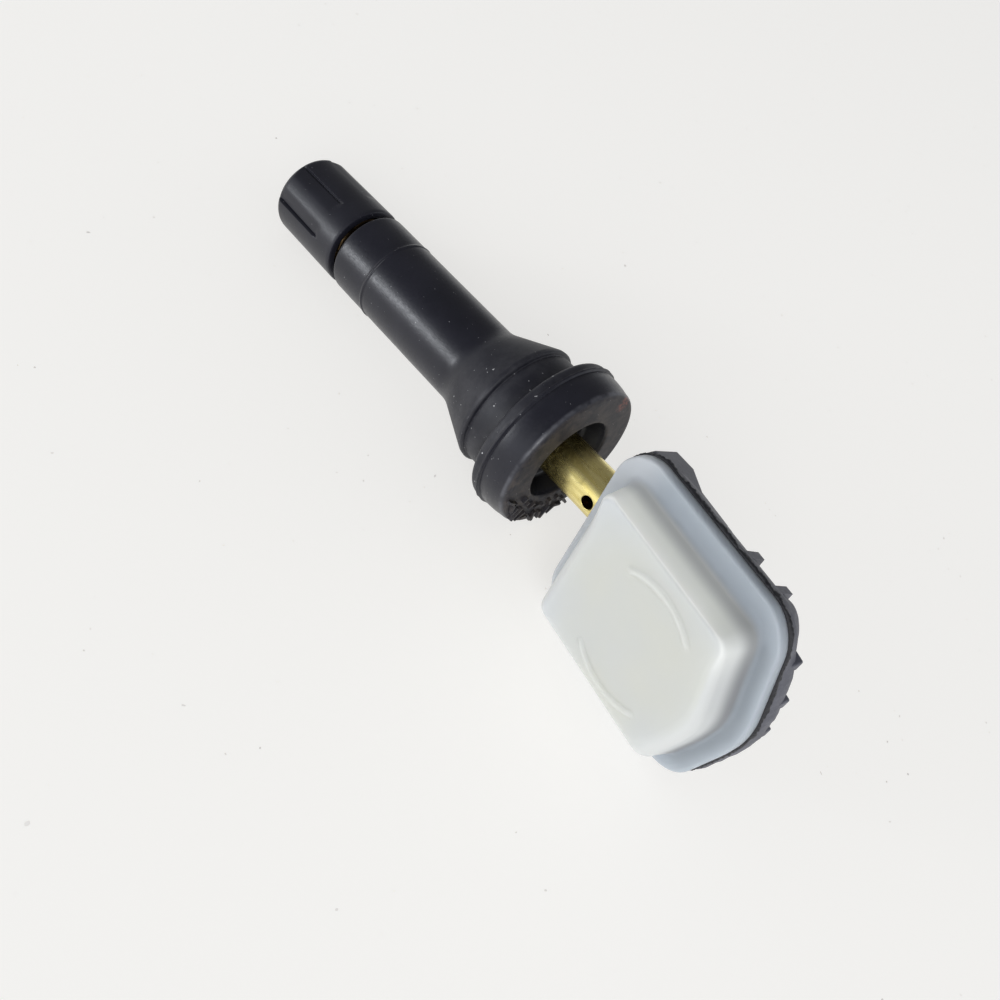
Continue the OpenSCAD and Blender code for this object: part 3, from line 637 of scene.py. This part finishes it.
def cover_mesh():
    """The cover from under its flange to the middle of its top, as rings drawn in more and more."""
    count = 420
    lower_r, upper_r, fillet = 0.12, 0.3, 0.85
    crisp_r, extra_r = 0.35, 1.25
    wall_steps, top_steps = 8, 66

    def flat_ring(z, inset):
        outline = plan(inset, max(1.5, corner_r - inset), max(6.0, nose_r - inset), count)
        return [(x, y, z) for x, y in outline]

    # flange, with a small round below and a larger one above
    rings = [flat_ring(-cover_flange_t, cover_flange_w), flat_ring(-cover_flange_t, 0.5)]
    rings += [flat_ring(-cover_flange_t + dz, dx)
              for dx, dz in reversed(arc(lower_r, lower_r, lower_r, 180, 270, 4))]
    rings += [flat_ring(dz, dx) for dx, dz in arc(upper_r, -upper_r, upper_r, 180, 90, 6)]
    rings.append(flat_ring(0, cover_flange_w - fillet - 0.3))
    # fillet up to the wall, which takes on the shift towards the nose as it rises
    fillet_start = cover_flange_w - fillet
    for dx, dz in arc(fillet_start, fillet, fillet, 270, 360, 10):
        share = (dx - fillet_start) / fillet
        rings.append([(x + share * nose_shift(x), y, z) for x, y, z in flat_ring(dz, dx)])

    insets = np.linspace(0, 2.0, 21)
    table = plan_table(cover_flange_w + cover_draft + insets, 1.0, 5.0, count)
    foot = plan(cover_flange_w, corner_r - cover_flange_w, nose_r - cover_flange_w, count)
    for outline in [foot] + list(table):
        outline[:, 0] += [nose_shift(x) for x in outline[:, 0]]
    # the ridge is crisp on one long side and well rounded on the others
    soft = np.array([smooth(-0.9 * out_y + 0.75 * abs(out_x), -0.2, 0.85)
                     for out_x, out_y in zip(*outward(table[0]))])
    ridge_r = crisp_r + extra_r * mean_around(soft, 25)

    def inside(distances):
        """The top's outline with each point drawn in by its own distance."""
        return np.array([drawn_in(table, insets, i, distance) for i, distance in enumerate(distances)])

    for t in np.arange(1, wall_steps + 1) / wall_steps:
        height = fillet + (cover_h - ridge_r - fillet) * t
        rings.append([(x, y, z) for (x, y), z in zip(foot + (table[0] - foot) * t, height)])
    for a in np.radians(np.linspace(8, 88, 11)):
        height = cover_h - ridge_r * (1 - np.sin(a))
        rings.append([(x, y, z) for (x, y), z in zip(inside(ridge_r * (1 - np.cos(a))), height)])
    # flat top with its two arc ribs
    base = inside(ridge_r)
    centre = np.array([arc_rib_x, 0.0])
    for t in np.arange(top_steps) / top_steps:
        rings.append([(x, y, cover_h + rib_height(x, y)) for x, y in centre + (base - centre) * (1 - t)])

    verts = [p for ring in rings for p in ring]
    faces = ring_faces(len(rings), count)
    middle = len(verts)
    verts.append((arc_rib_x, 0, cover_h))
    last = (len(rings) - 1) * count
    faces += [(last + i, last + (i + 1) % count, middle) for i in range(count)]
    faces.append(tuple(range(count)))
    return verts, faces


cover_obj = add_mesh("cover_skin", *cover_mesh(), body_frame, material=COVER, smooth_angle=60)
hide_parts("cover")


# joint between cover and housing
def bead_mesh():
    """A rough line of adhesive, squeezed out unevenly."""
    count = 900
    inner = 1.45
    section = [(inner, -cover_flange_t), (0.1, -cover_flange_t + 0.04), (-0.1, -cover_flange_t - 0.05),
               (-0.2, -cover_flange_t - 0.22), (-0.14, -cover_flange_t - 0.42), (0.1, housing_top - 0.25),
               (0.75, housing_top - 0.1), (inner, housing_top)]
    insets = np.linspace(-0.4, inner, 12)
    table = plan_table(insets, 1.8, 6.0, count)
    last = len(section) - 1
    rings = []
    for k, (inset, z) in enumerate(section):
        ring = []
        for i in range(count):
            angle = 2 * math.pi * i / count
            coarse = ring_noise(angle, 9, k * 0.45)
            fine = ring_noise(angle, 46, k * 0.9 + 5)
            push = 0.0 if k in (0, last) else 0.11 * coarse + 0.13 * fine
            drop = 0.0 if k < 3 or k == last else 0.1 * coarse + 0.05 * fine
            x, y = drawn_in(table, insets, i, max(-0.38, inset - push))
            ring.append((x, y, z - drop))
        rings.append(ring)
    return hoop(rings)


bead_obj = add_mesh("joint_bead_skin", *bead_mesh(), body_frame, material=ADHESIVE, smooth_angle=80)
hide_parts("joint_bead")


# rubber valve
def rubber_profile():
    """The rubber's section as (radius, x), from the cap's end along the outside to the tube."""
    mouth_r, end_r = 0.25, 0.4
    p = [(thread_r, rubber_end_x + 1.5), (thread_r, rubber_end_x + mouth_r)]
    p += arc(thread_r + mouth_r, rubber_end_x + mouth_r, mouth_r, 180, 270, 4)
    p += arc(neck_r - end_r, rubber_end_x + end_r, end_r, -90, 0, 8)
    # neck with its parting bead
    bead = ((0, -0.3), (0.015, -0.16), (0.07, -0.1), (0.1, 0), (0.08, 0.09), (0.01, 0.13), (-0.03, 0.2),
            (0, 0.45))
    p += [(neck_r + up, parting_x + at) for up, at in bead]
    # flare, which starts with a bend and runs on straight
    bend = 0.25
    for t in np.linspace(0, 1, 25):
        rise = t * t / (2 * bend) if t < bend else t - bend / 2
        p.append((neck_r + 0.02 + (lip_r - neck_r - 0.14) * rise / (1 - bend / 2),
                  flare_start_x + (flare_len - 0.5) * t))
    # lip and rim groove
    p += arc(lip_r - 0.5, lip_x - 0.35, 0.5, 30, 80, 6)
    p += [(lip_r - 0.35, lip_x + 0.16), (lip_r - 0.46, lip_x + 0.2), (groove_r - 0.06, lip_x + 0.28),
          (groove_r - 0.02, lip_x + 0.45), (groove_r, lip_x + 0.7), (groove_r, -0.12), (groove_r + 0.12, 0)]
    # flange with its flash
    p += arc(flange_r - 0.6, 0.6, 0.6, -90, 0, 8)
    side = ((0, -0.3), (0.02, -0.16), (flash_h * 0.8, -0.1), (flash_h, 0), (flash_h * 0.85, 0.12),
            (0.02, 0.16), (-0.1, 0.24), (-0.07, 0.5), (-0.09, 1.3), (-0.18, 2.1), (-0.3, 2.7))
    p += [(flange_r + up, flash_x + at) for up, at in side]
    p += arc(flange_r - 1.05, flange_t - 0.7, 0.7, 0, 90, 12)
    # recess around the tube
    floor_r = 4.5
    p += [(recess_r + 0.25, flange_t), (recess_r + 0.1, flange_t - 0.03), (recess_r, flange_t - 0.12),
          (recess_r - 0.12, flange_t - 0.6), (floor_r, recess_x + 0.15), (floor_r - 0.2, recess_x),
          (tube_r + 0.25, recess_x), (tube_r, recess_x - 0.15), (tube_r, recess_x - 1.0)]
    return densify(p, 0.3)


def rubber_radius(x, r, a):
    """Uneven flash and parting bead, and a slight waviness of the neck and flare."""
    if abs(x - flash_x) < 0.13 and r > flange_r:
        share = 0.85 + 0.5 * ring_noise(a, 3.0, 0.5) + 0.25 * ring_noise(a, 14.0, 2.5)
        r = flange_r + (r - flange_r) * min(1.0, max(0.25, share))
    elif abs(x - parting_x) < 0.14 and r > neck_r:
        r = neck_r + (r - neck_r) * min(1.0, 0.8 + 0.5 * ring_noise(a, 2.0, 4.5))
    if flange_r - 2 > r > neck_r - 0.5 or x < lip_x:
        r += 0.012 * noise.noise(Vector((x * 0.35, math.cos(a) * 2.0, math.sin(a) * 2.0)))
    return r


rubber_obj = add_mesh("valve_rubber_skin", *revolve(rubber_profile(), 288, rubber_radius), lying,
                      material=RUBBER, smooth_angle=40)
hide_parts("valve_rubber")

# plain raised strokes on the valve's face, which say nothing, in two rows
# each row: its radius, how many strokes, the degrees from one to the next, the length of the longest
mark_rows = ((7.95, 13, 7.4, 2.0), (6.3, 8, 11.0, 1.0))
mark_start = -157
mark_turns = (20, -24, 62, 12, -55)
mark_lengths = (1.0, 0.6, 0.8)
mark_half_w = 0.21
mark_h = 0.4
mark_sunk = 0.5
mark_slope = 0.06


def face_stroke(row, i):
    """One low bar with sloping sides, turned and set in its place on the face."""
    row_r, _, pitch, longest = mark_rows[row]
    half_len = longest * mark_lengths[(i + row) % len(mark_lengths)] / 2
    verts, faces = tapered_bar((-mark_sunk, mark_h), (-half_len, half_len), (-mark_half_w, mark_half_w),
                               mark_slope, mark_slope)
    turn = mark_turns[(i * 2 + row) % len(mark_turns)]
    place = (Matrix.Rotation(math.radians(mark_start - i * pitch), 4, "X")
             @ Matrix.Translation((flange_t, row_r, 0)) @ Matrix.Rotation(math.radians(turn), 4, "X"))
    return [tuple(place @ Vector(v)) for v in verts], faces


strokes = together(face_stroke(row, i) for row in range(len(mark_rows)) for i in range(mark_rows[row][1]))
marks = add_mesh("face_marks", *strokes, lying, material=RUBBER, smooth_angle=20)


# brass stem
def stem_mesh():
    """The stem with its charging thread, its bores and the screw's hole, without the air hole."""
    around = 96
    thread_depth = 0.42
    core_r, core_head_len, barrel_r, barrel_len, core_tail = 2.55, 4.5, 1.75, 9.0, 3.7
    screw_hole_r, screw_hole_end = 1.55, tube_end - 5.2
    thread_start, thread_end = stem_tip_x + 0.6, rubber_end_x + 1.5
    thread_run = thread_end - 0.4 - thread_start
    n = int(thread_run / (thread_pitch / 8))
    outside = [(thread_r - 0.6, stem_tip_x), (thread_r, thread_start)]
    outside += [(thread_r, thread_start + thread_run * i / n) for i in range(1, n + 1)]
    outside += [(thread_r, thread_end), (shank_r, thread_end), (shank_r, shank_end), (tube_r, tube_start)]
    outside += [(tube_r, 2.0 + (tube_end - 0.3 - 2.0) * i / 12) for i in range(13)]
    outside += [(tube_r - 0.3, tube_end), (screw_hole_r, tube_end), (screw_hole_r, screw_hole_end),
                (AXIS_R, screw_hole_end)]
    head_end = stem_tip_x + 1.0 + core_head_len
    bore_end = head_end + 0.8
    chamber_end = head_end + barrel_len + core_tail
    passage_end = air_hole_x + air_hole_r + 0.5
    bore = [(AXIS_R, passage_end), (passage_r, passage_end), (passage_r, chamber_end),
            (barrel_r + 0.2, chamber_end), (barrel_r + 0.2, bore_end + 0.8), (core_r + 0.05, bore_end),
            (core_r + 0.05, stem_tip_x + 0.3), (core_r + 0.35, stem_tip_x)]

    def threaded(x, r, a):
        """Cuts the helix of the thread, fading at both ends."""
        if abs(r - thread_r) > 1e-6 or not thread_start < x < thread_end - 0.05:
            return r
        fade = (smooth(x, thread_start - 0.1, thread_start + 0.5)
                * (1 - smooth(x, thread_end - 1.3, thread_end - 0.3)))
        phase = (x / thread_pitch - a / (2 * math.pi)) % 1.0
        from_root = abs(phase - 0.5) * 2
        return r - thread_depth * fade * min(1.0, max(0.0, (from_root - 0.12) / 0.76))

    verts, faces = together((revolve(outside, around, threaded), revolve(bore, around)))
    # each profile has one end on the axis, closed by a tiny disc, and its other end on the tip's face
    bore_first = len(outside) * around
    bore_last = bore_first + (len(bore) - 1) * around
    faces.append(tuple(range(bore_first - around, bore_first)))
    faces.append(tuple(range(bore_first, bore_first + around)))
    faces += [(i, (i + 1) % around, bore_last + (i + 1) % around, bore_last + i) for i in range(around)]
    return verts, faces


def air_hole_mesh():
    """The shape cut out for the air hole: a drill with a small countersink."""
    around = 48
    rings = ((air_hole_r, -0.2), (air_hole_r, tube_r - 0.12), (air_hole_r + 0.16, tube_r + 0.06),
             (air_hole_r + 0.2, tube_r + 1.0))
    angles = np.linspace(0, 2 * math.pi, around, endpoint=False)
    verts = [(air_hole_x + r * math.cos(a), r * math.sin(a), z) for r, z in rings for a in angles]
    ends = [tuple(range(around)), tuple(range(len(verts) - around, len(verts)))]
    return verts, ring_faces(len(rings), around) + ends


stem_obj = add_mesh("valve_stem_skin", *stem_mesh(), lying, material=BRASS, smooth_angle=35)
hole_frame = lying @ Matrix.Rotation(math.radians(air_hole_angle), 4, "X")
cutter = add_mesh("cutter", *air_hole_mesh(), hole_frame)
cut = stem_obj.modifiers.new("hole", "BOOLEAN")
cut.operation = "DIFFERENCE"
cut.solver = "EXACT"
cut.object = cutter
drilled = stem_obj.evaluated_get(bpy.context.evaluated_depsgraph_get())
stem_obj.data = bpy.data.meshes.new_from_object(drilled)
stem_obj.modifiers.clear()
stem_obj.data.materials.clear()
stem_obj.data.materials.append(BRASS)
bpy.data.objects.remove(cutter, do_unlink=True)
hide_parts("valve_stem")

# moulded edges
soften(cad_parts["housing"], 0.14, 2, 38)


# housing wall
def wall_mesh():
    """The tray's wall as a hoop: near the CAD tray on the long sides, and straighter at the nose."""
    count = 720
    # z, inset along the sides and inset at the nose; the first ring and the last two lie inside the housing
    section = [(-1.46, 1.5, 1.5), (-1.47, 0.36, 0.3), (-2.0, 0.44, 0.16), (-2.75, 0.66, 0.08),
               (-3.6, 1.28, 0.1), (-4.3, 1.75, 0.22), (-4.75, 2.1, 0.6), (-4.95, 2.6, 1.5), (-4.7, 3.2, 3.2),
               (-3.0, 3.2, 3.2)]
    hidden = (0, 8, 9)
    insets = np.linspace(-0.6, 3.4, 26)
    table = plan_table(insets, 1.3, 5.0, count)
    # the line of the table just outside the housing's own edge
    edge = table[3]
    toward_nose = mean_around(np.array([smooth(out_x, 0.3, 0.85) * (1 - 0.75 * smooth(y, 4, 10))
                                        for out_x, y in zip(outward(edge)[0], edge[:, 1])]), 21)
    rings = []
    for k, (z, side, nose) in enumerate(section):
        ring = []
        for i in range(count):
            x0, y0 = edge[i]
            inset = side + (nose - side) * toward_nose[i]
            if k not in hidden:
                coarse = noise.noise(Vector((x0 * 0.45, y0 * 0.45, z * 0.6)))
                fine = noise.noise(Vector((x0 * 1.5, y0 * 1.5, z * 1.2 + 7)))
                bulge = 0.45 * toward_nose[i] * (1 - smooth(y0, -5, 1))
                inset -= bulge + 0.14 * coarse + 0.06 * fine
            x, y = drawn_in(table, insets, i, min(3.35, max(-0.55, inset)))
            ring.append((x, y, z))
        rings.append(ring)
    return hoop(rings)


wall_obj = add_mesh("housing_wall", *wall_mesh(), body_frame, material=HOUSING, smooth_angle=50)

# ends of the ribs, standing out of the nose wall and narrower at their tips
rib_reach = (0.1, 0.25, -0.1, -0.35)
rib_root = 2.6
rib_half_t = (rib_t + 0.75) / 2
rib_z = (-5.4, -3.3)
rib_slope = 0.16
nose_wall = plan(0.2, corner_r - 0.2, nose_r - 0.2, 720)


def rib_end(i):
    """The end of one rib, as far out as the nose wall is at its place."""
    y = (i - 1.5) * rib_pitch
    near = nose_wall[(abs(nose_wall[:, 1] - y) < 0.3) & (nose_wall[:, 0] > arc_rib_x)]
    x = near[:, 0].mean()
    return tapered_bar((x - rib_root, x + rib_reach[i]), (y - rib_half_t, y + rib_half_t), rib_z,
                       rib_slope, 2 * rib_slope)


rib_ends = add_mesh("rib_ends", *together(rib_end(i) for i in range(len(rib_reach))), body_frame,
                    material=HOUSING, smooth_angle=20)
soften(rib_ends, 0.18, 3, 30)

# cap: round, with raised pads near its closed end, each as (middle, half width) in degrees
pads = ((6.5, 19.5), (112.5, 24.0), (232.0, 23.3))
pad_depth = 0.36
pad_len = 8.4


def cap_profile():
    """The cap's section as (radius, x), from the middle of its closed end to the floor of its bore."""
    bore_r, mouth_r, floor_x = thread_r + 0.08, thread_r + 0.43, stem_tip_x - 1.1
    top_r, edge = cap_r - 0.08, 0.95
    p = [(AXIS_R, cap_top_x), (top_r - edge - 0.4, cap_top_x)]
    p += [(top_r - edge + edge * math.sin(a), cap_top_x + edge - edge * math.cos(a))
          for a in np.linspace(0, math.pi / 2, 14)]
    p += [(cap_r, cap_rim_x - 0.25), (cap_r - 0.08, cap_rim_x - 0.07), (cap_r - 0.25, cap_rim_x),
          (mouth_r, cap_rim_x), (bore_r, cap_rim_x - 0.6), (bore_r, floor_x), (AXIS_R, floor_x)]
    return densify(p, 0.35)


def cap_radius(x, r, a):
    """Beside the pads the wall lies lower, rising to the full round farther off and above the rim."""
    if r < thread_r + 0.5:
        return r
    beside = min(abs((math.degrees(a) - middle + 180) % 360 - 180) - half for middle, half in pads)
    step = smooth(beside, 0, 1.5) * (1 - smooth(beside, 1.5, 24))
    groove = 0.14 * smooth(beside, 0.2, 1.2) * (1 - smooth(beside, 2.2, 3.4))
    along = x - cap_top_x
    shown = smooth(along, 0.1, 0.9) * (1 - smooth(along, pad_len - 0.5, pad_len + 0.1))
    return r - shown * (pad_depth * (1 - 0.4 * along / pad_len) * step + groove)


cap_obj = add_mesh("valve_cap_skin", *revolve(cap_profile(), 360, cap_radius), lying, body="screw_cap",
                   material=CAP, smooth_angle=35)
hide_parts("valve_cap")

# floor: it touches the rubber's flange and the body's edge, and so it slopes a little in the valve's frame
floor_normal = Vector((0.108, 0, 0.994)).normalized()
floor_below = 9.55
floor_half = 1500
corners = [(-1, -1, 0), (1, -1, 0), (1, 1, 0), (-1, 1, 0)]
floor_mesh = bpy.data.meshes.new("floor")
floor_mesh.from_pydata([Vector(corner) * floor_half * MM for corner in corners], [], [(0, 1, 2, 3)])
floor = bpy.data.objects.new("floor", floor_mesh)
bpy.context.scene.collection.objects.link(floor)
floor.rotation_mode = "QUATERNION"
floor.rotation_quaternion = floor_normal.to_track_quat("Z", "Y")
floor.location = floor_normal * (-floor_below * MM)
paper, paper_tree, paper_shader = new_material("floor_paper")
paper_place = coords(paper_tree)
dots = times(paper_tree, mask(paper_tree, noise_tex(paper_tree, paper_place, 1.1, 1, 0.4), 0.765, 0.785),
             mask(paper_tree, noise_tex(paper_tree, paper_place, 0.05, 2), 0.45, 0.6))
paper_color = mix_color(paper_tree, dots, (0.42, 0.415, 0.40, 1), (0.25, 0.24, 0.23, 1))
paper_tree.links.new(paper_color, paper_shader.inputs["Base Color"])
paper_shader.inputs["Roughness"].default_value = 0.9
# a lit white table, so that shadows on it stay faint
paper_glow = mix_color(paper_tree, dots, (1.0, 0.99, 0.965, 1), (0.72, 0.71, 0.7, 1))
paper_tree.links.new(paper_glow, paper_shader.inputs["Emission Color"])
paper_shader.inputs["Emission Strength"].default_value = 0.64
floor_mesh.materials.append(paper)

# camera, as it was fitted to the valve's rings and the body's outline
camera_at = (40.370, -71.537, 67.430)
right = Vector((0.6288, 0.710753, 0.315341))
up = Vector((-0.690915, 0.324668, 0.645931))
back = Vector((0.356716, -0.624035, 0.695222))
camera_data = bpy.data.cameras.new("camera")
camera_data.sensor_width = 36
camera_data.lens = 35.402
camera_data.clip_start = 0.005
camera_data.clip_end = 10
camera = bpy.data.objects.new("camera", camera_data)
bpy.context.scene.collection.objects.link(camera)
camera.matrix_world = (Matrix.Translation(Vector(camera_at) * MM)
                       @ Matrix((right, up, back)).transposed().to_4x4())
bpy.context.scene.camera = camera

# a white room whose walls are brighter than its ceiling
ceiling = Vector((-0.18, 0.16, 0.97)).normalized()
world = bpy.data.worlds.new("world")
bpy.context.scene.world = world
world.use_nodes = True
world_tree = world.node_tree
background = world_tree.nodes["Background"]
background.inputs["Strength"].default_value = 1.0
sky = world_tree.nodes.new("ShaderNodeTexCoord")
toward = world_tree.nodes.new("ShaderNodeVectorMath")
toward.operation = "DOT_PRODUCT"
toward.inputs[1].default_value = ceiling
world_tree.links.new(sky.outputs["Generated"], toward.inputs[0])
room = world_tree.nodes.new("ShaderNodeValToRGB")
room.color_ramp.interpolation = "EASE"
for element, (position, color) in zip(room.color_ramp.elements,
                                      ((0.02, (1.12, 1.16, 1.24, 1)), (0.62, (0.21, 0.21, 0.215, 1)))):
    element.position = position
    element.color = color
world_tree.links.new(toward.outputs["Value"], room.inputs["Fac"])
world_tree.links.new(room.outputs["Color"], background.inputs["Color"])


def area_light(name, at, aim, size, energy, color):
    """A round lamp at a place in metres, turned towards aim."""
    data = bpy.data.lights.new(name, "AREA")
    data.shape = "DISK"
    data.size = size
    data.energy = energy
    data.color = color
    obj = bpy.data.objects.new(name, data)
    bpy.context.scene.collection.objects.link(obj)
    obj.location = at
    obj.rotation_mode = "QUATERNION"
    obj.rotation_quaternion = (Vector(aim) - Vector(at)).to_track_quat("-Z", "Y")


area_light("front", (0.36, -0.46, 0.24), (0.02, 0, 0), 0.36, 1.45, (1, 1, 1))
area_light("window", (-0.30, -0.42, 0.07), (-0.01, 0, 0), 0.12, 0.75, (0.93, 0.96, 1.0))

bpy.context.scene.view_settings.view_transform = "Standard"
